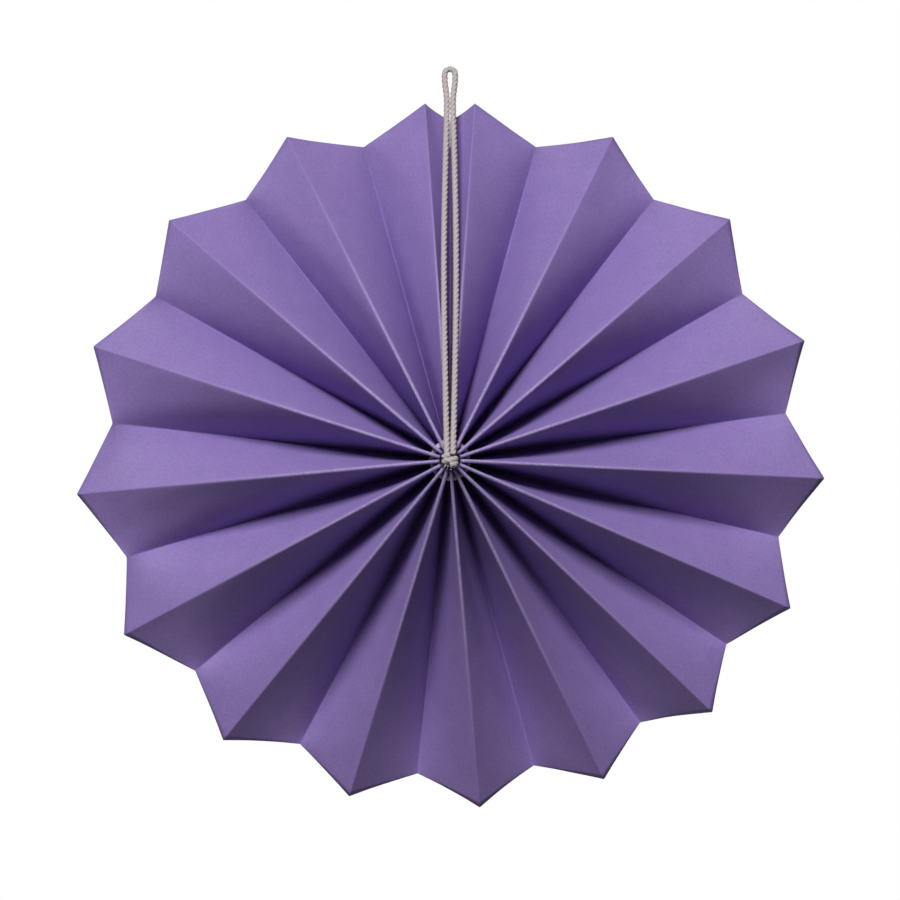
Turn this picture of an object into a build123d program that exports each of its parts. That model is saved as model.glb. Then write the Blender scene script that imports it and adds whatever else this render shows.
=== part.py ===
"""Paper fan rosette: one pleated strip of paper closed into a ring, hung on a doubled string.

The rosette hangs upright. X runs to the right and +Y to the back, so the front faces -Y, and +Z is up.
The origin is the point where the string's loop hangs on its nail. The front folds run straight from
the hub and lean back, so the rosette is a shallow cone with the hub foremost. Lengths are in
millimetres and angles in degrees.
"""
import math
import os

from build123d import *

# Paper sheet
front_fold_count = 17
seam_half_angle = 4.0
spread_sway = 2.0
spread_slip = 4.9
side_tilt = 9.0
tilt_gain = 11.25
tilt_slip = 1.75
tip_radius = 100.0
notch_radius = 90.6
rim_depth = 3.6
paper_thickness = 0.2
fold_gap = 0.04
hub_taper = 1.0
margin_width = 5.0

# Seam tape
tape_thickness = 0.1
tape_inset = 0.5
tape_inner_radius = 14.0
tape_outer_radius = 88.0

# String
string_diameter = 1.5
string_sides = 12
string_gap = 0.3
string_seat_gap = 0.05
loop_rise = 8.8
loop_height = 4.0
loop_half_width = 1.4
strand_half_spacing = 0.8
strand_widest_spacing = 1.7
strand_shares = ((0.26, 0.84), (0.55, 1.0), (0.81, 0.68), (0.93, 0.49))
arc_share = 0.45
hole_inset = 1.2
thread_ring_depth = 4.0
hole_clearance = 0.15
punch_share = 0.9
knot_core_radius = 1.5
knot_turn_spacing = 1.6

# Places worked out from the sizes
string_radius = string_diameter / 2
paper_front = string_radius + string_gap
fold_pitch = (360 - 2 * seam_half_angle) / (front_fold_count - 1)
seam_half_gap = tape_thickness / 2
hub_radius = (paper_thickness + fold_gap) / math.sin(math.radians(seam_half_angle))
hub_back_radius = hub_radius - hub_taper
thread_ring_radius = hub_radius + hole_inset
segment_count = 8
station_sweep = 76.0


def front_azimuth(index):
    """Azimuth of a front fold, clockwise from the seam, with the pleats' natural uneven spread."""
    round_ring = 2 * math.pi * index / (front_fold_count - 1)
    drift = spread_sway * math.sin(round_ring) - spread_slip * math.sin(round_ring / 2) ** 4
    return seam_half_angle + fold_pitch * index + drift


def half_pitch(index):
    """Angle from a front fold to the back fold that follows it, midway to the next front fold."""
    return (front_azimuth(index + 1) - front_azimuth(index)) / 2


def fold_tilt(azimuth):
    """Lean of a fold to the back: least at the two sides, more at the top and most at the bottom."""
    upward = math.cos(math.radians(azimuth))
    return side_tilt + tilt_gain * upward ** 2 - tilt_slip * upward


def place(radius, azimuth, depth, side=0.0):
    """Point at a distance along a leaning fold from the hub, moved back by depth and clockwise by side."""
    angle = math.radians(azimuth)
    tilt = math.radians(fold_tilt(azimuth))
    reach = radius * math.cos(tilt)
    x = reach * math.sin(angle) + side * math.cos(angle)
    y = paper_front + radius * math.sin(tilt) + depth
    z = reach * math.cos(angle) - side * math.sin(angle)
    return hub_centre + Vector(x, y, z)


def between(inner, outer, share):
    """Value at a share of the way from the hub to the rim."""
    return inner + (outer - inner) * share


def panel_spread(index, share):
    """Sideways distance between a back fold and the front folds beside it."""
    middle = front_azimuth(index) + half_pitch(index)
    radius = between(hub_back_radius, notch_radius, share)
    reach = radius * math.cos(math.radians(fold_tilt(middle)))
    return 2 * reach * math.sin(math.radians(half_pitch(index)) / 2)


def pleat_depth(index, share):
    """Depth of a back fold: the panel keeps its width while its two folds spread apart."""
    return math.sqrt(pleat_width ** 2 - panel_spread(index, share) ** 2)


def station_share(index):
    """Share of the way to the rim of one row of fold points, closer together towards the rim."""
    sweep = math.radians(station_sweep)
    return math.sin(sweep * index / segment_count) / math.sin(sweep)


string_tilt = fold_tilt(0)
string_frame = Location((0, 0, 0), (-string_tilt, 0, 0))
string_reach = tip_radius + loop_rise
hub_centre = (string_frame * Location((0, 0, -string_reach))).position
widest_spread = max(panel_spread(index, 1) for index in range(front_fold_count - 1))
pleat_width = math.hypot(widest_spread, rim_depth)
margin_share = margin_width / pleat_width
glue_radius = between(notch_radius, tip_radius, margin_share)
glue_hub_radius = between(hub_back_radius, hub_radius, margin_share)
station_shares = [station_share(index) for index in range(segment_count + 1)]


def panel_lean(index, share):
    """Angle of a panel from the depth axis, near zero at the hub and nearly flat at the rim."""
    return math.atan2(panel_spread(index, share), pleat_depth(index, share))


def crease(lean):
    """Half width of the narrow flat that the outside of a fold has, for a panel at this lean."""
    return paper_thickness * math.tan(math.pi / 4 - lean / 2)


def seam_spread(share):
    """Sideways distance of an end panel's front fold from the middle of its glued margin."""
    reach = between(hub_radius, tip_radius, share) * math.cos(math.radians(string_tilt))
    return reach * math.sin(math.radians(seam_half_angle)) - seam_half_gap


def glue_depth(share):
    """Depth of the line where the two end panels come together."""
    return math.sqrt((pleat_width - margin_width) ** 2 - seam_spread(share) ** 2)


def seam_lean(share):
    """Angle of an end panel from the depth axis, in front of its glued margin."""
    return math.atan2(seam_spread(share), glue_depth(share))


def side_lean(index, turn, share):
    """Lean of the panel on one side of a front fold."""
    pleat = index if turn > 0 else index - 1
    if pleat in range(front_fold_count - 1):
        return panel_lean(pleat, share)
    return seam_lean(share)


def front_line(index, turn):
    """Points along a straight front fold: its inside for turn 0, or one side of its outer flat."""
    ends = []
    for share, radius in ((0, hub_radius), (1, tip_radius)):
        depth = 0 if turn else paper_thickness
        side = turn * crease(side_lean(index, turn, share))
        ends.append(place(radius, front_azimuth(index), depth, side))
    hub_end, rim_end = ends
    return [hub_end + (rim_end - hub_end) * share for share in station_shares]


def back_line(index, turn):
    """Points along a curved back fold: its inside for turn 0, or one side of its outer flat."""
    azimuth = front_azimuth(index) + half_pitch(index)
    points = []
    for share in station_shares:
        radius = between(hub_back_radius, notch_radius, share)
        depth = pleat_depth(index, share) + (paper_thickness if turn else 0)
        points.append(place(radius, azimuth, depth, turn * crease(panel_lean(index, share))))
    return points


def seam_line(turn, inner_radius, outer_radius, extra_depth, outside):
    """Points along an end panel at the seam, on its taped face or on its outside."""
    points = []
    for share in station_shares:
        radius = between(inner_radius, outer_radius, share)
        side = seam_half_gap + (paper_thickness if outside else 0)
        bend = paper_thickness * math.tan(seam_lean(share) / 2) if outside else 0
        depth = glue_depth(share) + bend + extra_depth
        points.append(place(radius, 0, depth, turn * side))
    return points


def facet(*corners):
    """Flat face between three or four corner points."""
    return Face(Wire.make_polygon(corners, close=True))


def flat_strip(first, second):
    """Row of flat four-sided faces between two lines of points that lie square to each other."""
    rows = zip(first, first[1:], second[1:], second)
    return [facet(*corners) for corners in rows]


def twisted_strip(crest, valley):
    """Row of flat triangles between two fold lines: each slanting edge runs outwards to the valley."""
    faces = []
    for near, far, deep_far, deep_near in zip(crest, crest[1:], valley[1:], valley):
        faces.append(facet(near, deep_far, deep_near))
        faces.append(facet(near, far, deep_far))
    return faces


def end_faces(outer, inner, deep_outer, deep_inner):
    """Faces that close the paper's edge at the hub and at the rim, between a panel's four lines."""
    faces = []
    for end in (0, -1):
        faces.append(facet(outer[end], deep_inner[end], deep_outer[end]))
        faces.append(facet(outer[end], inner[end], deep_outer[end]))
    return faces


def panel(outer, inner, deep_inner, deep_outer):
    """Front and back faces of one panel, and its two edges: two lines at the crest, two at the valley."""
    faces = twisted_strip(outer, deep_inner) + twisted_strip(inner, deep_outer)
    return faces + end_faces(outer, inner, deep_outer, deep_inner)


def fold_flat(left, inside, right):
    """The narrow outer flat of a fold, with the two small triangles at its ends."""
    ends = [facet(left[end], inside[end], right[end]) for end in (0, -1)]
    return flat_strip(left, right) + ends


def make_paper_sheet():
    """The pleated sheet, as the front and back faces of its panels with the folds between them."""
    faces = []
    folds = {}
    for index in range(front_fold_count):
        for turn in (-1, 0, 1):
            folds[index, turn] = front_line(index, turn)
        faces += fold_flat(folds[index, -1], folds[index, 0], folds[index, 1])
    for index in range(front_fold_count - 1):
        deep = {turn: back_line(index, turn) for turn in (-1, 0, 1)}
        faces += fold_flat(deep[-1], deep[0], deep[1])
        for turn, fold_index in ((-1, index), (1, index + 1)):
            faces += panel(folds[fold_index, -turn], folds[fold_index, 0], deep[0], deep[turn])
    for turn, index in ((1, 0), (-1, front_fold_count - 1)):
        taped = [folds[index, -turn]]
        outside = [folds[index, 0]]
        for inner_radius, outer_radius, extra_depth in (
            (glue_hub_radius, glue_radius, 0),
            (hub_back_radius, notch_radius, margin_width),
        ):
            taped.append(seam_line(turn, inner_radius, outer_radius, extra_depth, False))
            outside.append(seam_line(turn, inner_radius, outer_radius, extra_depth, True))
        for step in (0, 1):
            faces += panel(taped[step], outside[step], taped[step + 1], outside[step + 1])
        faces += twisted_strip(taped[2], outside[2])
    return Solid(Shell(faces))


def make_punches():
    """A short straight punch along the string ring at each front fold, through its two panels."""
    length = punch_share * thread_ring_radius * math.radians(fold_pitch)
    punch = Cylinder(string_radius + hole_clearance, length)
    punches = []
    for index in range(front_fold_count):
        azimuth = front_azimuth(index)
        centre = ring_location().position
        angle = math.radians(azimuth)
        spot = centre + Vector(math.sin(angle), 0, math.cos(angle)) * thread_ring_radius
        punches.append(punch.moved(Location(spot, (0, 90 + azimuth, 0))))
    return punches


def make_paper_fan():
    """The sheet with the row of punched holes that the string ring runs through."""
    return make_paper_sheet() - make_punches()


def ring_location():
    """Place and turn of the string ring: about the hub's axis, a little behind the folds' inner ends."""
    return Location(place(0, 0, thread_ring_depth), (90, 0, 0))


def make_seam_tape():
    """The double-sided strip between the two end panels, inside their glued margins."""
    corners = []
    for radius, inset, extra_depth in (
        (tape_inner_radius, tape_inset, 0),
        (tape_outer_radius, tape_inset, 0),
        (tape_outer_radius, -tape_inset, margin_width),
        (tape_inner_radius, -tape_inset, margin_width),
    ):
        share = (radius - glue_hub_radius) / (glue_radius - glue_hub_radius)
        corners.append(place(radius, 0, glue_depth(share) + inset + extra_depth))
    middle = Face(Wire.make_polygon(corners, close=True))
    return extrude(middle, amount=seam_half_gap, dir=(1, 0, 0), both=True)


def string_section():
    """Section of the string: a many-sided outline that passes for round."""
    return RegularPolygon(string_radius, string_sides)


def string_ring(radius):
    """A closed turn of string about the Z axis."""
    section = Plane.XZ * Pos(radius, 0) * string_section()
    return revolve(section, Axis.Z)


def make_hub_string():
    """The ring through the punched holes, and the knot at the middle of the front."""
    ring = string_ring(thread_ring_radius).moved(ring_location())
    knot = Pos(0, 0, -string_reach) * Cylinder(knot_core_radius, knot_height())
    for side in (-1, 1):
        height = side * knot_turn_spacing / 2 - string_reach
        knot += Pos(0, 0, height) * string_ring(knot_core_radius)
    return Compound([ring, knot.moved(string_frame)])


def knot_height():
    """Height of the knot's core, which ends level with the top of its upper turn."""
    return knot_turn_spacing + string_diameter


def cord_route():
    """Corner points of the doubled string, not yet leaning: up from the knot, over the loop and down."""
    knot_top = knot_height() / 2 - string_reach
    loop_bottom = string_radius - loop_height
    strand = [(strand_half_spacing, knot_top + string_seat_gap)]
    for height_share, spacing_share in strand_shares:
        height = knot_top + (loop_bottom - knot_top) * height_share
        strand.append((strand_widest_spacing * spacing_share, height))
    strand.append((loop_half_width, loop_bottom))
    strand.append((loop_half_width, string_radius))
    left = [Vector(-x, 0, z) for x, z in strand]
    right = [Vector(x, 0, z) for x, z in reversed(strand)]
    return left + right


def corner_radii(points):
    """Radius at each corner: a share of its shorter run over the tangent of half its turn."""
    radii = []
    for before, corner, after in zip(points, points[1:], points[2:]):
        first = corner - before
        second = after - corner
        half_turn = math.radians(first.get_angle(second)) / 2
        radii.append(arc_share * min(first.length, second.length) / math.tan(half_turn))
    return radii


def make_hanging_string():
    """The free doubled string: one tube of straight runs joined by tangent arcs."""
    points = cord_route()
    radii = corner_radii(points)
    path = FilletPolyline(*points, radius=radii).wire()
    section = Plane(origin=path.position_at(0), z_dir=path.tangent_at(0)) * string_section()
    tube = sweep(section, path=path)
    expected = section.area * path.length
    print("string length", round(path.length, 2), "volume over section times length",
          round(tube.volume / expected, 4), "smallest radius", round(min(radii), 2))
    print("string points", [(round(point.X, 3), round(point.Z, 3)) for point in points])
    return tube.moved(string_frame)


def main():
    """Build every piece and write each one to its own file."""
    pieces = {
        "paper_fan": make_paper_fan(),
        "seam_tape": make_seam_tape(),
        "hub_string": make_hub_string(),
        "hanging_string": make_hanging_string(),
    }
    os.makedirs("parts", exist_ok=True)
    for name, piece in pieces.items():
        export_step(piece, "parts/" + name + ".step")


if __name__ == "__main__":
    main()
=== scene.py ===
"""Paper fan rosette: a pleated ring of purple paper on a doubled cotton string.

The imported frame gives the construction. This script dresses it: the folded paper with its creases
and slack, the twisted string with its loop and knot, the seam tape, the camera and the light.
Lengths are in metres and angles in radians. The origin is the point where the string's loop hangs,
the front faces -Y and +Z is up. Azimuths run clockwise from the top, as seen from the front.
"""
import math

import bmesh
import bpy
import numpy as np
from bpy.props import FloatProperty, FloatVectorProperty, IntProperty, PointerProperty
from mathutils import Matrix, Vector


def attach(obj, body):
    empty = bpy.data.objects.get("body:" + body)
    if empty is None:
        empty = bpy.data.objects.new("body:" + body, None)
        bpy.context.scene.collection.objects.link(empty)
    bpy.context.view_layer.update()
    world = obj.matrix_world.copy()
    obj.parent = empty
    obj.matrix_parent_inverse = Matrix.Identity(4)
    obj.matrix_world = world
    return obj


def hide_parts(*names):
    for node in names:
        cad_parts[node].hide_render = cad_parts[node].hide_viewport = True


bl_info = {
    "name": "Paper fan rosette",
    "version": (1, 0, 0),
    "blender": (4, 5, 0),
    "location": "View3D > Sidebar > Paper Fan",
    "description": "Builds a pleated paper rosette with its hanging string, materials and lights",
    "category": "Object",
}

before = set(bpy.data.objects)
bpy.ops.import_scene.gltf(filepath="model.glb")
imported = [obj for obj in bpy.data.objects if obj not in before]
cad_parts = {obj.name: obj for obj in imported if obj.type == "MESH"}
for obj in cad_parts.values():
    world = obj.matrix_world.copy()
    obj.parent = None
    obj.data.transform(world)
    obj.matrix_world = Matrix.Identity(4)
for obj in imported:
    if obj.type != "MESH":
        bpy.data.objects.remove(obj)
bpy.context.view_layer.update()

MM = 0.001
BODY = "root"

# Blender's default sensor width, in millimetres
SENSOR_WIDTH = 36.0

# Corners of the doubled string before it leans: across, and up from the hanging point. They are
# part.py's, but for three on each strand right under the loop, which are set so that the strands
# close up as in the photograph.
STRING_ROUTE = (
    (-0.0008, -0.1072),
    (-0.001428, -0.08021),
    (-0.0017, -0.05005),
    (-0.001156, -0.02301),
    (-0.000833, -0.01153),
    (-0.0008, -0.007),
    (-0.0014, -0.003),
    (-0.0014, 0.00075),
    (0.0014, 0.00075),
    (0.0014, -0.003),
    (0.0008, -0.007),
    (0.000833, -0.01153),
    (0.001156, -0.02301),
    (0.0017, -0.05005),
    (0.001428, -0.08021),
    (0.0008, -0.1072),
)

# Fineness of the paper: points along a fold and across a panel, and places on a fold's corner
FOLD_POINTS = 60
PANEL_POINTS = 11
CORNER_SHARES = (0.25, 0.5, 0.75)

# Fineness of the string: points round it, their spacing along it, and points of the lines it follows
TUBE_POINTS = 24
TUBE_SPACING = 0.22 * MM
RING_POINTS = 120
KNOT_POINTS = 160
LINE_RESOLUTION = 16
MERGE_DISTANCE = 0.0001 * MM

# Waves of the slack paper, in radians: across a panel, from the hub to the rim, and at their start
WAVE_COUNT = 4
WAVE_ACROSS = 2.07
WAVE_UNEVENNESS = 0.805
WAVE_UNEVEN_TURN = 5.1
WAVE_ALONG = 5.27
WAVE_ALONG_STEP = 2.48
WAVE_START = 2.4
# Distance between neighbouring panels in the waves, in panels, so that no two are alike
PANEL_STAGGER = 1.37
# Swell of a panel at the hub, where its folds press together, as a share of that at the rim
HUB_SWELL_SHARE = 0.35
# How sharply the painted shade darkens the string towards its grooves, 1 for evenly
GROOVE_SHARPNESS = 1.5

# Sizes of the patterns in the materials, and the height of their relief
CLOUD_SIZE = 6.25 * MM
FIBRE_SIZE = 2 / 3 * MM
FUZZ_SIZE = 0.25 * MM
ADHESIVE_SIZE = 10 / 3 * MM
BOARD_SIZE = 1000 / 3 * MM
RELIEF_HEIGHT = 0.1 * MM
# Part that the clouds have in the paper's colour beside the fibres, and how soon the painted highlight
# and wear make a fold pale
CLOUD_SHARE = 0.35
HIGHLIGHT_AND_SCUFF_STRENGTH = 2.5

# The Mix node's setting for colours, and the numbers of its colour sockets
COLOURS = {"data_type": "RGBA"}
FIRST_COLOUR = 6
SECOND_COLOUR = 7
MIXED_COLOUR = 2
WHITE = (1, 1, 1)


def number(name, description, default, subtype="NONE"):
    """Property that holds a number."""
    return FloatProperty(name=name, description=description, default=default, subtype=subtype)


def length(name, description, metres):
    """Property that holds a length or a place."""
    return number(name, description, metres, "DISTANCE")


def angle(name, description, degrees):
    """Property that holds an angle."""
    return number(name, description, math.radians(degrees), "ANGLE")


def power(name, description, watts):
    """Property that holds a lamp's power."""
    return number(name, description, watts, "POWER")


def linear(hex_colour):
    """Linear colour of an sRGB hex value."""
    channels = []
    for start in (1, 3, 5):
        value = int(hex_colour[start:start + 2], 16) / 255
        channels.append(value / 12.92 if value <= 0.04045 else ((value + 0.055) / 1.055) ** 2.4)
    return tuple(channels)


def colour(name, description, hex_colour):
    """Property that holds a colour."""
    return FloatVectorProperty(
        name=name, description=description, default=linear(hex_colour), subtype="COLOR", min=0, max=1
    )


class PaperSettings(bpy.types.PropertyGroup):
    """Sizes and colours of the folded paper."""

    front_folds: IntProperty(name="Front folds", description="Number of folds at the front", default=17)
    seam_half_angle: angle("Seam half angle", "From the seam to the fold on each side of it", 4.0)
    spread_sway: angle("Spread sway", "Drift of the folds towards one side", 2.0)
    spread_slip: angle("Spread slip", "Drift of the lowest folds round the ring", 4.9)
    side_tilt: angle("Side tilt", "Lean of the folds to the back at the two sides", 9.0)
    tilt_gain: angle("Tilt gain", "Extra lean at the top and the bottom", 11.25)
    tilt_slip: angle("Tilt slip", "Lean that moves from the top to the bottom", 1.75)
    hub_radius: length("Hub radius", "Where the front folds begin", 2.9 * MM)
    hub_back_radius: length("Hub back radius", "Where the back folds begin", 1.15 * MM)
    tip_radius: length("Tip radius", "Length of a front fold from the centre", 100 * MM)
    notch_radius: length("Notch radius", "Reach of a back fold from the centre", 90.6 * MM)
    rim_depth: length("Rim depth", "Depth of the widest pleat at the rim", 3.6 * MM)
    margin_width: length("Margin width", "Width of the glued margins at the seam", 9 * MM)
    tape_thickness: length("Tape thickness", "Thickness of the tape between the margins", 0.1 * MM)
    thickness: length("Thickness", "Thickness of the paper", 0.2 * MM)
    fold_rounding: length("Fold rounding", "How far from a fold the paper starts to turn", 0.2 * MM)
    fold_roll: length("Fold roll", "Radius of a fold at the hub, where panels press together", 0.42 * MM)
    roll_reach: length("Roll reach", "How far into a panel the roll of its fold shows", 3 * MM)
    back_roll_share: number("Back roll share", "Roll of a back fold, as a share of a front fold's", 0.5)
    swell: length("Swell", "How far the middle of a panel swells to the back", 0.45 * MM)
    slack: length("Slack", "Height of the gentle waves in the paper", 0.16 * MM)
    ruling_lead: number("Ruling lead", "How early a back fold reaches the rim, 1 for not at all", 2.0)
    roughness: number("Roughness", "Roughness of the paper's satin finish", 0.55)
    gloss_share: number("Gloss share", "Strength of the reflection, 0.5 for a smooth film", 0.2)
    paper: colour("Paper", "Colour of the dyed paper", "#8570AF")
    fibre: colour("Fibre", "Colour of the paler fibres", "#937DBB")
    # Pale colour of the front folds near the hub: a painted highlight on the crests, with wear
    highlight_and_wear_colour: colour("Worn fold", "Colour of the scuffed outside of a fold", "#B0A1D0")
    film: colour("Tape film", "Colour of the tape's clear film", "#D9D3C4")
    adhesive: colour("Tape adhesive", "Colour of the tape's milky adhesive", "#E6E2D6")


class StringSettings(bpy.types.PropertyGroup):
    """Sizes and colours of the cotton string."""

    diameter: length("Diameter", "Diameter of the string", 1.5 * MM)
    gap: length("Gap", "From the string to the front folds behind it", 0.3 * MM)
    lay: length("Lay", "Length of one full turn of the plies", 4.2 * MM)
    plies: IntProperty(name="Plies", description="Number of yarns twisted together", default=3)
    fuzz_share: number("Fuzz share", "How far fuzz fills the grooves", 0.5)
    ply_share: number("Ply share", "Reach of the plies, as a share of the mean radius", 1.1)
    ring_radius: length("Ring radius", "Radius of the ring that gathers the folds", 4.64 * MM)
    ring_depth: length("Ring depth", "How far the ring lies behind the folds' inner ends", 4 * MM)
    knot_reach: length("Knot reach", "From the hanging point to the knot, along the string", 108.8 * MM)
    knot_radius: length("Knot radius", "Radius of the knot's turns", 1.5 * MM)
    knot_pitch: length("Knot pitch", "Height of one turn of the knot", 1.3 * MM)
    knot_turns: number("Knot turns", "Turns of the knot, which starts and ends at its front", 2.0)
    roughness: number("Roughness", "Roughness of the matt cotton", 0.9)
    gloss_share: number("Gloss share", "Strength of the reflection, 0.5 for a smooth film", 0.2)
    cotton: colour("Cotton", "Colour of the unbleached cotton", "#C8BEBD")
    # Painted shade in the grooves between the plies
    shade: colour("Shade", "Colour between the plies", "#A89DA1")


class StageSettings(bpy.types.PropertyGroup):
    """Camera, lamps and floor."""

    view_distance: length("View distance", "From the camera to the fan", 2.0)
    view_width: length("View width", "Width of the view at the fan", 0.2368)
    view_depth: length("View depth", "Depth of the point that the camera looks at", -0.02)
    view_height: length("View height", "Height of the point that the camera looks at", -0.1005)
    key_distance: length("Key distance", "From the key lamp to the fan", 2.0)
    key_size: length("Key size", "Side of the key lamp", 0.7)
    key_angle: angle("Key angle", "From the view's direction up to the key lamp", 41)
    key_swing: angle("Key swing", "How far the key lamp is turned to the left", 14)
    key_spread: angle("Key spread", "Width of the key lamp's beam", 180)
    key_power: power("Key power", "Power of the key lamp", 40.0)
    back_side: length("Back side", "How far right of the fan the back lamp stands", 0.3)
    back_distance: length("Back distance", "How far behind the fan the back lamp stands", 2.0)
    back_height: length("Back height", "How far above the fan the back lamp stands", 0.6)
    back_size: length("Back size", "Side of the back lamp", 1.2)
    back_spread: angle("Back spread", "Width of the back lamp's beam", 60)
    back_power: power("Back power", "Power of the back lamp", 5.0)
    world_strength: number("World strength", "Strength of the even light", 0.005)
    floor_drop: length("Floor drop", "From the hanging point down to the floor", 1.5)
    floor_size: length("Floor size", "From the middle of the floor to its edge", 12.0)
    floor_glow_share: number("Floor glow share", "Glow of the floor as seen", 0.94)
    board: colour("Board", "Colour of the floor as the light meets it", "#A9A7A4")
    board_glow: colour("Board glow", "Colour of the floor as seen", "#F7F6F5")
    board_cloud: colour("Board cloud", "Colour of the paler clouds on the floor", "#FDFDFC")


def add_node(tree, kind, settings=None, inputs=None):
    """A node with its settings. An input's value is a number, a linear colour or a socket to link."""
    node = tree.nodes.new(kind)
    for name, value in (settings or {}).items():
        setattr(node, name, value)
    for key, value in (inputs or {}).items():
        socket = node.inputs[key]
        if isinstance(value, bpy.types.NodeSocket):
            tree.links.new(value, socket)
        elif socket.type == "RGBA":
            socket.default_value = (*value, 1)
        else:
            socket.default_value = value
    return node


def new_material(name):
    """An empty node material."""
    material = bpy.data.materials.new(name)
    material.use_nodes = True
    material.node_tree.nodes.clear()
    return material


def unit(vectors):
    """The same vectors, each divided by its length."""
    return vectors / np.linalg.norm(vectors, axis=-1, keepdims=True)


def new_object(name, mesh, material):
    """An object at the origin, with its mesh and material."""
    piece = bpy.data.objects.new(name, mesh)
    bpy.context.collection.objects.link(piece)
    mesh.materials.append(material)
    return piece


def grid_mesh(name, points, closed_rows=False, closed_columns=False):
    """Smooth mesh of an array of points, with a quad between each four neighbours."""
    rows, columns = points.shape[:2]
    mesh = bpy.data.meshes.new(name)
    index = np.arange(rows * columns).reshape(rows, columns)
    if closed_rows:
        index = np.vstack([index, index[:1]])
    if closed_columns:
        index = np.hstack([index, index[:, :1]])
    corners = [index[:-1, :-1], index[1:, :-1], index[1:, 1:], index[:-1, 1:]]
    quads = np.stack(corners, axis=-1).reshape(-1, 4)
    mesh.vertices.add(rows * columns)
    mesh.vertices.foreach_set("co", points.reshape(-1))
    mesh.loops.add(quads.size)
    mesh.loops.foreach_set("vertex_index", quads.reshape(-1))
    mesh.polygons.add(len(quads))
    mesh.polygons.foreach_set("loop_start", np.arange(0, quads.size, 4))
    mesh.update(calc_edges=True)
    mesh.shade_smooth()
    return mesh


def merge_poles(mesh):
    """Join the points that share a place at each end of a tube, which closes it."""
    shape = bmesh.new()
    shape.from_mesh(mesh)
    bmesh.ops.remove_doubles(shape, verts=shape.verts, dist=MERGE_DISTANCE)
    shape.to_mesh(mesh)
    shape.free()


def add_uv(mesh, uv):
    """UV map "sheet" from one pair of lengths for each vertex."""
    layer = mesh.uv_layers.new(name="sheet")
    corner_vertex = np.empty(len(mesh.loops), dtype=np.int32)
    mesh.loops.foreach_get("vertex_index", corner_vertex)
    layer.data.foreach_set("uv", uv.reshape(-1, 2)[corner_vertex].reshape(-1))


def add_number(mesh, name, values):
    """Attribute with one number for each vertex."""
    attribute = mesh.attributes.new(name, "FLOAT", "POINT")
    attribute.data.foreach_set("value", values.reshape(-1))


def fold_azimuths(paper):
    """Azimuths of the front folds.

    Even steps from one side of the seam to the other, plus two slow drifts that are zero at the seam.
    """
    count = paper.front_folds
    index = np.arange(count)
    turn = 2 * np.pi * index / (count - 1)
    pitch = (2 * np.pi - 2 * paper.seam_half_angle) / (count - 1)
    drift = paper.spread_sway * np.sin(turn) - paper.spread_slip * np.sin(turn / 2) ** 4
    return paper.seam_half_angle + pitch * index + drift


def fold_tilt(paper, azimuth):
    """Lean of a fold to the back.

    The side tilt, plus a gain by the square of the cosine of the azimuth, less a slip by its cosine.
    """
    upward = np.cos(azimuth)
    return paper.side_tilt + paper.tilt_gain * upward ** 2 - paper.tilt_slip * upward


def hub_centre(paper, string):
    """Where the folds' lines meet: the knot's place, and one string radius and a gap behind it."""
    lean = float(fold_tilt(paper, 0.0))
    reach = string.knot_reach
    behind = string.diameter / 2 + string.gap
    return np.array([0, behind - reach * math.sin(lean), -reach * math.cos(lean)])


def lean_place(paper, string, radius, azimuth, depth, side=0.0):
    """Points at a distance along a leaning fold, moved back by depth and clockwise by side."""
    tilt = fold_tilt(paper, azimuth)
    reach = radius * np.cos(tilt)
    x = reach * np.sin(azimuth) + side * np.cos(azimuth)
    y = radius * np.sin(tilt) + depth
    z = reach * np.cos(azimuth) - side * np.sin(azimuth)
    return np.stack(np.broadcast_arrays(x, y, z), axis=-1) + hub_centre(paper, string)


def pleat_width(paper):
    """Width of a panel, from the widest spread of two folds at the rim and the depth left there."""
    azimuth = fold_azimuths(paper)
    half = np.diff(azimuth) / 2
    reach = paper.notch_radius * np.cos(fold_tilt(paper, azimuth[:-1] + half))
    return math.hypot(np.max(2 * reach * np.sin(half / 2)), paper.rim_depth)


def between(inner, outer, share):
    """Lengths at shares of the way from an inner length to an outer one."""
    return inner + (outer - inner) * share


def fold_lines(paper, string, shares):
    """Points along every fold of the sheet, from one glued margin round to the other.

    A front fold is straight. A back fold lies as deep as the panel's width leaves it while the folds
    beside it spread apart: the depth is the third side of a right triangle. Its points run ahead of
    the front fold's, so each panel is nearly flat inside and turns to face forward at its tip.
    """
    ahead = 1 - (1 - shares) ** paper.ruling_lead
    azimuth = fold_azimuths(paper)
    half = np.diff(azimuth) / 2
    width = pleat_width(paper)
    front_radius = between(paper.hub_radius, paper.tip_radius, shares)
    back_radius = between(paper.hub_back_radius, paper.notch_radius, ahead)
    lines = []
    for index, fold in enumerate(azimuth):
        lines.append(lean_place(paper, string, front_radius, fold, paper.thickness / 2))
        if index < len(half):
            middle = fold + half[index]
            reach = back_radius * np.cos(fold_tilt(paper, middle))
            depth = np.sqrt(width ** 2 - (2 * reach * np.sin(half[index] / 2)) ** 2)
            lines.append(lean_place(paper, string, back_radius, middle, depth + paper.thickness / 2))
    glue_radius = between(paper.notch_radius, paper.tip_radius, paper.margin_width / width)
    side = (paper.tape_thickness + paper.thickness) / 2
    spread = between(paper.hub_radius, paper.tip_radius, ahead) * math.sin(paper.seam_half_angle)
    glue_depth = np.sqrt((width - paper.margin_width) ** 2 - spread ** 2)
    for turn in (1, -1):
        for outer, extra in ((glue_radius, 0), (paper.notch_radius, paper.margin_width)):
            radius = between(paper.hub_back_radius, outer, ahead)
            line = lean_place(paper, string, radius, 0.0, glue_depth + extra, turn * side)
            lines.insert(0 if turn > 0 else len(lines), line)
    return np.array(lines)


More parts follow.
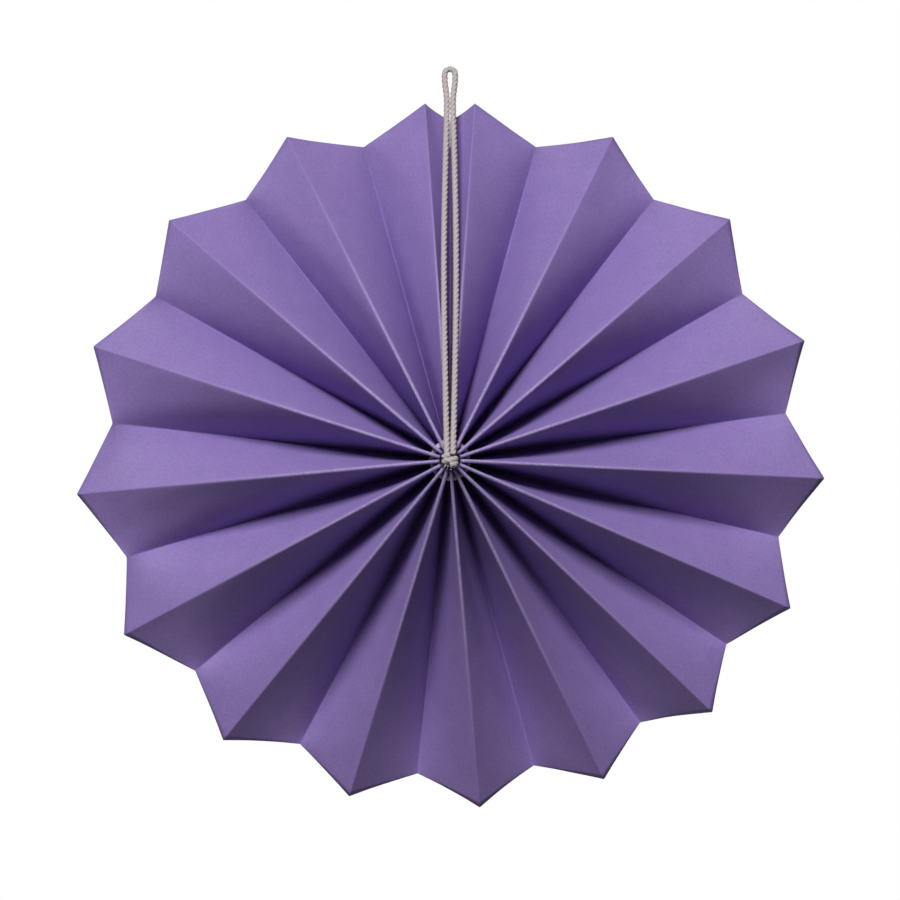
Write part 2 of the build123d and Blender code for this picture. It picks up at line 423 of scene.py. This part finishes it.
def slack_waves(across, along):
    """Gentle waves of dried paper, across it in panels and along it from 0 at the hub to 1 at the rim.

    Four sine waves are added up. Each turns faster than the one before it, by a step along the paper
    and an uneven step across it, and its height is divided by its number.
    """
    waves = np.zeros(np.broadcast(across, along).shape)
    for wave in range(1, WAVE_COUNT + 1):
        turn_across = WAVE_ACROSS * wave + WAVE_UNEVENNESS * math.sin(WAVE_UNEVEN_TURN * wave)
        turn_along = WAVE_ALONG + WAVE_ALONG_STEP * wave
        waves += np.sin(turn_across * across + turn_along * along + WAVE_START * wave) / wave
    return waves


def fold_bow(paper, distance):
    """How far the roll of a fold holds a panel out at a distance from it, as a share of the roll.

    A quarter circle rises over the first fold_roll, and the bow falls by half with every roll_reach.
    """
    rise = np.clip(distance / paper.fold_roll, 0, 1)
    return np.sqrt(1 - (1 - rise) ** 2) * 0.5 ** (distance / paper.roll_reach)


def fold_wear(paper, distance):
    """Painted highlight and wear of a panel at a distance from a fold: full at the fold, and gone two
    rolls away.
    """
    return np.clip(1 - distance / (2 * paper.fold_roll), 0, 1)


def sheet_surface(paper, string):
    """The folded sheet as an array of points, with its flat coordinates and its folds' painted highlight
    and wear.

    Across a panel, points lie on the straight line between its two folds, closer together beside
    them. They move along the panel's normal, which points to the front: back by the swell and to
    and fro by the slack, both times the sine of their place, and beside a fold out by its roll, a
    quarter circle that dies away into the panel and by the square towards the rim. So does the
    number for the painted highlight and wear, which is above zero at a front fold and below zero at
    a back fold. The free edges of the glued margins count as front folds. At a fold the points
    follow a parabola between the two panels.
    """
    shares = np.linspace(0, 1, FOLD_POINTS)
    lines = fold_lines(paper, string, shares)
    width = pleat_width(paper)
    turn = paper.fold_rounding / width
    places = between(turn, 1 - turn, (1 - np.cos(np.pi * np.linspace(0, 1, PANEL_POINTS))) / 2)
    fade = (1 - shares) ** 2
    columns = [lines[0]]
    across = [0]
    # Painted highlight and wear at each column: pale at the folds, less by the square towards the rim
    highlight_and_wear = [0 * fade]
    for index in range(len(lines) - 1):
        first = lines[index]
        second = lines[index + 1]
        along = unit(np.gradient(first + second, axis=0))
        normal = unit(np.cross(second - first, along))
        front_first = index % 2 == 0
        for place in places:
            from_front = width * (place if front_first else 1 - place)
            from_back = width - from_front
            arch = np.sin(np.pi * place)
            swell = paper.swell * arch * between(HUB_SWELL_SHARE, 1, shares)
            ripple = paper.slack * arch * slack_waves(index * PANEL_STAGGER + place, shares)
            bow = fold_bow(paper, from_front) - paper.back_roll_share * fold_bow(paper, from_back)
            offset = ripple - swell + paper.fold_roll * fade * bow
            columns.append(first + (second - first) * place + normal * offset[:, None])
            across.append(index + place)
            highlight_and_wear.append((fold_wear(paper, from_front) - fold_wear(paper, from_back)) * fade)
        if index + 2 < len(lines):
            after = second + (lines[index + 2] - second) * turn
            before = second + (first - second) * turn
            for share in CORNER_SHARES:
                bend = (1 - share) ** 2 * before + 2 * share * (1 - share) * second + share ** 2 * after
                columns.append(bend)
                across.append(index + 1 + (2 * share - 1) * turn)
                highlight_and_wear.append(-fade if front_first else fade)
    columns.append(lines[-1])
    across.append(len(lines) - 1)
    highlight_and_wear.append(0 * fade)
    flat = np.meshgrid(np.array(across) * width, shares * paper.tip_radius, indexing="ij")
    return np.array(columns), np.stack(flat, axis=-1), np.array(highlight_and_wear)


def paper_material(paper):
    """Dyed craft paper, calendered: satin and fibrous, with a pale painted highlight and wear on the
    outside of its folds.
    """
    material = new_material("dyed_craft_paper")
    tree = material.node_tree
    coordinates = add_node(tree, "ShaderNodeTexCoord")
    place = coordinates.outputs["Object"]
    # Cloudy formation of the pulp, at its real size
    cloud = add_node(
        tree, "ShaderNodeTexNoise", inputs={"Vector": place, "Scale": 1 / CLOUD_SIZE, "Detail": 3.0}
    )
    # Fibres, drawn coarser than real ones so that they show
    fibre = add_node(
        tree, "ShaderNodeTexNoise",
        inputs={"Vector": place, "Scale": 1 / FIBRE_SIZE, "Detail": 4.0, "Roughness": 0.7},
    )
    cloud_range = add_node(
        tree, "ShaderNodeMapRange",
        inputs={"Value": cloud.outputs[0], "From Min": 0.3, "From Max": 0.7},
    )
    fibre_range = add_node(
        tree, "ShaderNodeMapRange",
        inputs={"Value": fibre.outputs[0], "From Min": 0.35, "From Max": 0.75},
    )
    mottle = add_node(
        tree, "ShaderNodeMath", {"operation": "MULTIPLY_ADD"},
        {0: cloud_range.outputs[0], 1: CLOUD_SHARE, 2: fibre_range.outputs[0]},
    )
    base = add_node(
        tree, "ShaderNodeMix", COLOURS,
        {"Factor": mottle.outputs[0], FIRST_COLOUR: paper.paper, SECOND_COLOUR: paper.fibre},
    )
    # The outside of a fold faces the front where the painted highlight and wear is above zero, and the
    # back where it is below
    highlight_and_wear = add_node(tree, "ShaderNodeAttribute", {"attribute_name": "fold_wear"})
    facing = add_node(tree, "ShaderNodeSeparateXYZ", inputs={0: coordinates.outputs["Normal"]})
    outside = add_node(
        tree, "ShaderNodeMath", {"operation": "MULTIPLY"},
        {0: highlight_and_wear.outputs["Fac"], 1: facing.outputs["Y"]},
    )
    # Painted highlight with wear: where a fold's outside faces the front near the hub, the colour turns
    # pale
    highlight_and_scuff = add_node(
        tree, "ShaderNodeMath", {"operation": "MULTIPLY", "use_clamp": True},
        {0: outside.outputs[0], 1: -HIGHLIGHT_AND_SCUFF_STRENGTH},
    )
    highlight_and_wear_colour = add_node(
        tree, "ShaderNodeMix", COLOURS,
        {"Factor": fibre_range.outputs[0], FIRST_COLOUR: paper.highlight_and_wear_colour, SECOND_COLOUR: paper.paper},
    )
    tone = add_node(
        tree, "ShaderNodeMix", COLOURS,
        {
            "Factor": highlight_and_scuff.outputs[0],
            FIRST_COLOUR: base.outputs[MIXED_COLOUR],
            SECOND_COLOUR: highlight_and_wear_colour.outputs[MIXED_COLOUR],
        },
    )
    relief = add_node(
        tree, "ShaderNodeBump",
        inputs={"Strength": 0.25, "Distance": RELIEF_HEIGHT, "Height": fibre.outputs[0]},
    )
    shader = add_node(
        tree, "ShaderNodeBsdfPrincipled",
        inputs={
            "Base Color": tone.outputs[MIXED_COLOUR], "Roughness": paper.roughness, "IOR": 1.5,
            "Specular IOR Level": paper.gloss_share, "Normal": relief.outputs[0],
        },
    )
    add_node(tree, "ShaderNodeOutputMaterial", inputs={"Surface": shader.outputs[0]})
    return material


def string_material(string):
    """Unbleached cotton, three yarns twisted together: soft, matt, with painted shade between the yarns.
    """
    material = new_material("twisted_cotton")
    tree = material.node_tree
    place = add_node(tree, "ShaderNodeTexCoord").outputs["Object"]
    groove = add_node(tree, "ShaderNodeAttribute", {"attribute_name": "groove"})
    fuzz = add_node(
        tree, "ShaderNodeTexNoise", inputs={"Vector": place, "Scale": 1 / FUZZ_SIZE, "Detail": 3.0}
    )
    # Painted shade: the cotton darkens towards the grooves between the plies
    tone = add_node(
        tree, "ShaderNodeMix", COLOURS,
        {"Factor": groove.outputs["Fac"], FIRST_COLOUR: string.cotton, SECOND_COLOUR: string.shade},
    )
    relief = add_node(
        tree, "ShaderNodeBump",
        inputs={"Strength": 0.4, "Distance": RELIEF_HEIGHT, "Height": fuzz.outputs[0]},
    )
    shader = add_node(
        tree, "ShaderNodeBsdfPrincipled",
        inputs={
            "Base Color": tone.outputs[MIXED_COLOUR], "Roughness": string.roughness,
            "Specular IOR Level": string.gloss_share, "Normal": relief.outputs[0],
        },
    )
    add_node(tree, "ShaderNodeOutputMaterial", inputs={"Surface": shader.outputs[0]})
    return material


def tape_material(paper):
    """Double-sided tape: a clear film that carries a milky, cloudy adhesive."""
    material = new_material("adhesive_film")
    tree = material.node_tree
    place = add_node(tree, "ShaderNodeTexCoord").outputs["Object"]
    cloud = add_node(tree, "ShaderNodeTexNoise", inputs={"Vector": place, "Scale": 1 / ADHESIVE_SIZE})
    tone = add_node(
        tree, "ShaderNodeMix", COLOURS,
        {"Factor": cloud.outputs[0], FIRST_COLOUR: paper.film, SECOND_COLOUR: paper.adhesive},
    )
    shader = add_node(
        tree, "ShaderNodeBsdfPrincipled",
        inputs={"Base Color": tone.outputs[MIXED_COLOUR], "Roughness": 0.4},
    )
    add_node(tree, "ShaderNodeOutputMaterial", inputs={"Surface": shader.outputs[0]})
    return material


def path_frames(path, closed):
    """Two square directions at each point of a path, the first as near to +Y as it can be."""
    if closed:
        tangent = unit(np.roll(path, -1, axis=0) - np.roll(path, 1, axis=0))
    else:
        tangent = unit(np.gradient(path, axis=0))
    reference = np.array([0.0, 1.0, 0.0])
    side = unit(reference - tangent * (tangent @ reference)[:, None])
    return side, np.cross(tangent, side)


def even_path(path, closed):
    """The same path with evenly spaced points, and the distance along it at each."""
    if closed:
        path = np.vstack([path, path[:1]])
    run = np.concatenate([[0], np.cumsum(np.linalg.norm(np.diff(path, axis=0), axis=1))])
    distance = np.linspace(0, run[-1], int(run[-1] / TUBE_SPACING) + 1)
    if closed:
        distance = distance[:-1]
    return np.stack([np.interp(distance, run, path[:, axis]) for axis in range(3)], axis=-1), distance


def twisted_tube(name, string, path, closed=False):
    """A string of round plies along a path.

    In each cross-section the outline is that of equal circles in a ring, each touching the next ones
    and the string's round: for the angle to the nearest ply, the distance to the far side of its
    circle. Fuzz fills the grooves by a share. The whole outline turns once for each lay. An open
    tube's ends are closed with a point on the path.
    """
    path, distance = even_path(path, closed)
    side, up = path_frames(path, closed)
    turns = distance / string.lay
    if closed:
        run = distance[-1] + distance[1]
        turns = distance / run * round(run / string.lay)
    radius = string.ply_share * string.diameter / 2
    ply = radius / (1 + 1 / math.sin(math.pi / string.plies))
    centre = radius - ply
    theta = np.linspace(0, 2 * np.pi, TUBE_POINTS, endpoint=False)
    phase = theta[None, :] - 2 * np.pi * turns[:, None]
    sector = 2 * np.pi / string.plies
    near = (phase + sector / 2) % sector - sector / 2
    reach = centre * np.cos(near) + np.sqrt(ply ** 2 - (centre * np.sin(near)) ** 2)
    spoke = side[:, None] * np.cos(theta)[:, None] + up[:, None] * np.sin(theta)[:, None]
    # How deep each point lies in a groove, for the painted shade between the plies
    groove = ((radius - reach) / (radius - reach.min())) ** GROOVE_SHARPNESS
    filled = reach + (radius - reach) * string.fuzz_share
    points = path[:, None, :] + spoke * filled[:, :, None]
    if not closed:
        ends = [np.broadcast_to(path[end], points[:1].shape) for end in (0, -1)]
        points = np.concatenate([ends[0], points, ends[1]])
        groove = np.concatenate([groove[:1], groove, groove[-1:]])
    mesh = grid_mesh(name, points[:, ::-1], closed_rows=closed, closed_columns=True)
    add_number(mesh, "groove", groove[:, ::-1])
    merge_poles(mesh)
    return mesh


def lean_back(paper, across, along):
    """Points in the plane of the leaning string, given across it and up along it."""
    lean = float(fold_tilt(paper, 0.0))
    return np.stack([across, along * math.sin(lean), along * math.cos(lean)], axis=-1)


def spline_points(curve_object):
    """Points that Blender gives for a curve with no bevel."""
    mesh = bpy.data.meshes.new_from_object(curve_object)
    points = np.empty(len(mesh.vertices) * 3)
    mesh.vertices.foreach_get("co", points)
    bpy.data.meshes.remove(mesh)
    return points.reshape(-1, 3)


def string_path(paper):
    """The string's line: a NURBS spline with the route's corners as its control points."""
    corners = np.array(STRING_ROUTE)
    control = lean_back(paper, corners[:, 0], corners[:, 1])
    curve = bpy.data.curves.new("string_line", "CURVE")
    curve.dimensions = "3D"
    spline = curve.splines.new("NURBS")
    spline.points.add(len(control) - 1)
    spline.points.foreach_set("co", np.hstack([control, np.ones((len(control), 1))]).reshape(-1))
    spline.order_u = 3
    spline.use_endpoint_u = True
    spline.resolution_u = LINE_RESOLUTION
    holder = bpy.data.objects.new("string_line", curve)
    bpy.context.collection.objects.link(holder)
    bpy.context.view_layer.update()
    points = spline_points(holder)
    bpy.data.objects.remove(holder)
    bpy.data.curves.remove(curve)
    return points


def ring_path(paper, string):
    """The ring's line: a circle about the hub's axis, behind the inner ends of the front folds."""
    theta = np.linspace(0, 2 * np.pi, RING_POINTS, endpoint=False)
    circle = np.stack([np.sin(theta), 0 * theta, np.cos(theta)], axis=-1) * string.ring_radius
    return circle + hub_centre(paper, string) + np.array([0, string.ring_depth, 0])


def knot_path(paper, string):
    """The knot's line: a coil about the string, which climbs by its pitch with every turn."""
    wind = np.linspace(-0.5, 0.5, KNOT_POINTS) * string.knot_turns
    turn = 2 * np.pi * wind
    height = string.knot_pitch * wind - string.knot_reach
    middle = lean_back(paper, string.knot_radius * np.sin(turn), height)
    return middle - np.stack([0 * turn, string.knot_radius * np.cos(turn), 0 * turn], axis=-1)


class PAPERFAN_OT_folded_paper(bpy.types.Operator):
    """Fold the sheet of paper into its ring of pleats"""

    bl_idname = "paperfan.folded_paper"
    bl_label = "Folded paper"

    def execute(self, context):
        paper = context.scene.paper_settings
        string = context.scene.string_settings
        points, flat, highlight_and_wear = sheet_surface(paper, string)
        mesh = grid_mesh("folded_paper", points)
        add_uv(mesh, flat)
        # Painted highlight and wear of the folds, for the paper's colour
        add_number(mesh, "fold_wear", highlight_and_wear)
        sheet = new_object("folded_paper", mesh, paper_material(paper))
        wall = sheet.modifiers.new("paper", "SOLIDIFY")
        wall.thickness = paper.thickness
        wall.offset = 0
        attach(sheet, BODY)
        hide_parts("paper_fan")
        return {"FINISHED"}


class PAPERFAN_OT_hanging_string(bpy.types.Operator):
    """Twist the doubled string that the fan hangs on"""

    bl_idname = "paperfan.hanging_string"
    bl_label = "Hanging string"

    def execute(self, context):
        paper = context.scene.paper_settings
        string = context.scene.string_settings
        path = string_path(paper)
        mesh = twisted_tube("hanging_string_twist", string, path)
        cord = new_object("hanging_string_twist", mesh, string_material(string))
        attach(cord, BODY)
        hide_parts("hanging_string")
        return {"FINISHED"}


class PAPERFAN_OT_hub_string(bpy.types.Operator):
    """Twist the ring that gathers the folds, and the knot in front of it"""

    bl_idname = "paperfan.hub_string"
    bl_label = "Hub string"

    def execute(self, context):
        paper = context.scene.paper_settings
        string = context.scene.string_settings
        material = string_material(string)
        for name, path, closed in (
            ("gathering_ring", ring_path(paper, string), True),
            ("string_knot", knot_path(paper, string), False),
        ):
            piece = new_object(name, twisted_tube(name, string, path, closed), material)
            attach(piece, BODY)
            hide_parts("hub_string")
        return {"FINISHED"}


class PAPERFAN_OT_seam_tape(bpy.types.Operator):
    """Give the tape in the seam its finish"""

    bl_idname = "paperfan.seam_tape"
    bl_label = "Seam tape"

    def execute(self, context):
        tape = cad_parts["seam_tape"]
        tape.data.materials.clear()
        tape.data.materials.append(tape_material(context.scene.paper_settings))
        return {"FINISHED"}


def aim(thing, place, target):
    """Put a camera or lamp at a place, and turn it to its target."""
    thing.location = place
    thing.rotation_euler = (Vector(target) - Vector(place)).to_track_quat("-Z", "Y").to_euler()


def add_lamp(name, size, spread, watts, place, target):
    """A square lamp at a place, turned to its target."""
    data = bpy.data.lights.new(name, "AREA")
    data.size = size
    data.spread = spread
    data.energy = watts
    lamp = bpy.data.objects.new(name, data)
    bpy.context.collection.objects.link(lamp)
    aim(lamp, place, target)


def seen_straight(tree):
    """Socket that is 1 for what the camera, gloss and glass see straight on, and 0 for light."""
    ray = add_node(tree, "ShaderNodeLightPath")
    seen = ray.outputs["Is Camera Ray"]
    for name in ("Is Glossy Ray", "Is Transmission Ray"):
        either = add_node(
            tree, "ShaderNodeMath", {"operation": "MAXIMUM"}, {0: seen, 1: ray.outputs[name]}
        )
        seen = either.outputs[0]
    return seen


def make_floor(stage):
    """A wide painted board, matt and faintly cloudy.

    Seen straight on it glows by a share, so that it is nearly as white as the world behind it.
    """
    edge = np.array([-stage.floor_size, stage.floor_size])
    x, y = np.meshgrid(edge, edge)
    mesh = grid_mesh("floor", np.stack([x, y, np.full_like(x, -stage.floor_drop)], axis=-1)[::-1])
    material = new_material("painted_board")
    tree = material.node_tree
    place = add_node(tree, "ShaderNodeTexCoord").outputs["Object"]
    noise = add_node(tree, "ShaderNodeTexNoise", inputs={"Vector": place, "Scale": 1 / BOARD_SIZE})
    tone = add_node(
        tree, "ShaderNodeMix", COLOURS,
        {"Factor": noise.outputs[0], FIRST_COLOUR: stage.board_glow, SECOND_COLOUR: stage.board_cloud},
    )
    board = add_node(
        tree, "ShaderNodeBsdfPrincipled", inputs={"Base Color": stage.board, "Roughness": 0.9}
    )
    glow = add_node(
        tree, "ShaderNodeEmission", inputs={"Color": tone.outputs[MIXED_COLOUR], "Strength": 1.0}
    )
    share = add_node(
        tree, "ShaderNodeMath", {"operation": "MULTIPLY"},
        {0: seen_straight(tree), 1: stage.floor_glow_share},
    )
    mix = add_node(
        tree, "ShaderNodeMixShader",
        inputs={0: share.outputs[0], 1: board.outputs[0], 2: glow.outputs[0]},
    )
    add_node(tree, "ShaderNodeOutputMaterial", inputs={"Surface": mix.outputs[0]})
    new_object("floor", mesh, material)


def make_world(stage):
    """Even white light. What the camera, gloss and glass see straight on is white at full strength."""
    world = bpy.data.worlds.new("studio")
    bpy.context.scene.world = world
    world.use_nodes = True
    tree = world.node_tree
    tree.nodes.clear()
    light, white = [
        add_node(tree, "ShaderNodeBackground", inputs={"Color": WHITE, "Strength": strength})
        for strength in (stage.world_strength, 1.0)
    ]
    mix = add_node(
        tree, "ShaderNodeMixShader",
        inputs={0: seen_straight(tree), 1: light.outputs[0], 2: white.outputs[0]},
    )
    add_node(tree, "ShaderNodeOutputWorld", inputs={"Surface": mix.outputs[0]})


class PAPERFAN_OT_stage(bpy.types.Operator):
    """Set up the camera, the lamps, the world and the floor"""

    bl_idname = "paperfan.stage"
    bl_label = "Stage"

    def execute(self, context):
        stage = context.scene.stage_settings
        target = Vector((0, stage.view_depth, stage.view_height))
        data = bpy.data.cameras.new("camera")
        data.sensor_width = SENSOR_WIDTH
        data.lens = SENSOR_WIDTH * stage.view_distance / stage.view_width
        data.dof.use_dof = False
        camera = bpy.data.objects.new("camera", data)
        context.collection.objects.link(camera)
        aim(camera, target + Vector((0, -stage.view_distance, 0)), target)
        context.scene.camera = camera
        # The key lamp stands high in front and a little to the left, and the back lamp behind the fan
        rise = math.sin(stage.key_angle)
        left = -rise * math.sin(stage.key_swing)
        front = Vector((left, -math.cos(stage.key_angle), rise * math.cos(stage.key_swing)))
        front *= stage.key_distance
        add_lamp("key", stage.key_size, stage.key_spread, stage.key_power, target + front, target)
        behind = Vector((stage.back_side, stage.back_distance, stage.back_height))
        add_lamp("back", stage.back_size, stage.back_spread, stage.back_power, target + behind, target)
        make_world(stage)
        make_floor(stage)
        context.scene.view_settings.view_transform = "Standard"
        return {"FINISHED"}


class PAPERFAN_PT_panel(bpy.types.Panel):
    """Lists the steps that build the fan"""

    bl_idname = "PAPERFAN_PT_panel"
    bl_label = "Paper Fan"
    bl_space_type = "VIEW_3D"
    bl_region_type = "UI"
    bl_category = "Paper Fan"

    def draw(self, context):
        for operator in OPERATORS:
            self.layout.operator(operator.bl_idname)


OPERATORS = (
    PAPERFAN_OT_folded_paper,
    PAPERFAN_OT_hanging_string,
    PAPERFAN_OT_hub_string,
    PAPERFAN_OT_seam_tape,
    PAPERFAN_OT_stage,
)
SETTINGS = (
    ("paper_settings", PaperSettings),
    ("string_settings", StringSettings),
    ("stage_settings", StageSettings),
)


def register():
    for name, group in SETTINGS:
        bpy.utils.register_class(group)
        setattr(bpy.types.Scene, name, PointerProperty(type=group))
    for item in (*OPERATORS, PAPERFAN_PT_panel):
        bpy.utils.register_class(item)


def unregister():
    for item in (PAPERFAN_PT_panel, *reversed(OPERATORS)):
        bpy.utils.unregister_class(item)
    for name, group in reversed(SETTINGS):
        delattr(bpy.types.Scene, name)
        bpy.utils.unregister_class(group)


def main():
    """Build every piece in order."""
    register()
    bpy.ops.paperfan.folded_paper()
    bpy.ops.paperfan.hanging_string()
    bpy.ops.paperfan.hub_string()
    bpy.ops.paperfan.seam_tape()
    bpy.ops.paperfan.stage()


if __name__ == "__main__":
    main()
